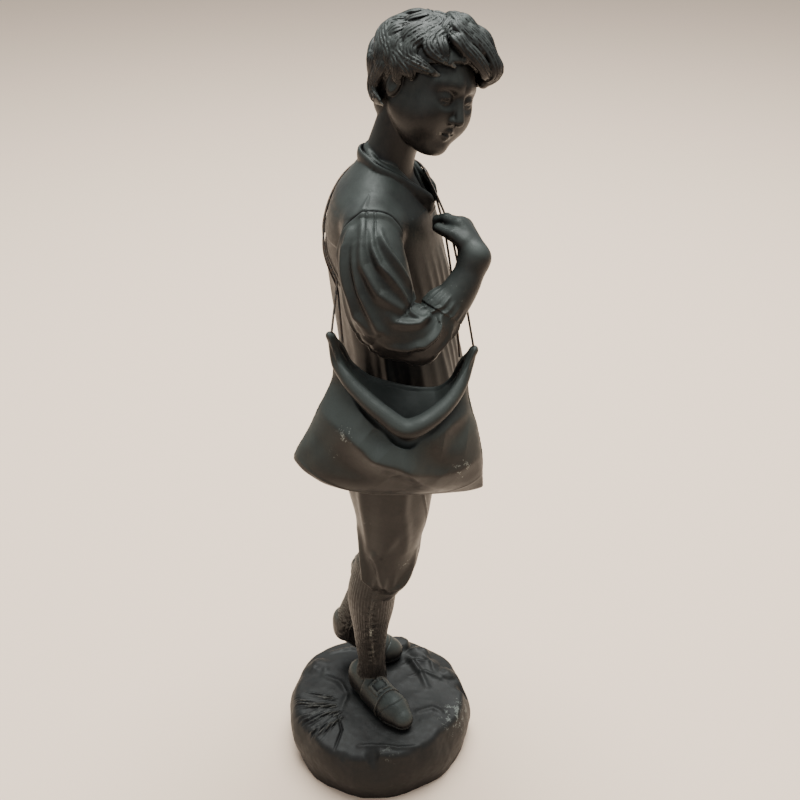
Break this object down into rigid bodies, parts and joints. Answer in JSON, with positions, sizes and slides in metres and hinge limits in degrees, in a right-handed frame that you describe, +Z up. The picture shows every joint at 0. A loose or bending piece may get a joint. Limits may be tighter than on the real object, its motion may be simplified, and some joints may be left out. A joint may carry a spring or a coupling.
{
  "type": "bronze statuette",
  "caption": "Patinated bronze statuette of a walking boy in a smock and knee breeches, a bag hung at his hip, on a round rocky base.",
  "frame": {"origin": "centre of the base's flat underside", "axes": "+X the way the boy walks, +Y his left, +Z up"},
  "size_m": [0.1207, 0.1604, 0.4586],
  "materials": {
    "bronze": "dark brown-black satin patina",
    "base_bronze": "dark brown-black satin patina, worn and dusty on the upper edges",
    "bag_bronze": "dark brown-black satin patina with light scratches",
    "wire": "tarnished drawn wire"
  },
  "bodies": {
    "root": {"figure": "bronze", "base": "base_bronze", "bag": "bag_bronze", "strap_wire_outer": "wire", "strap_wire_inner": "wire"}
  },
  "joints": []
}
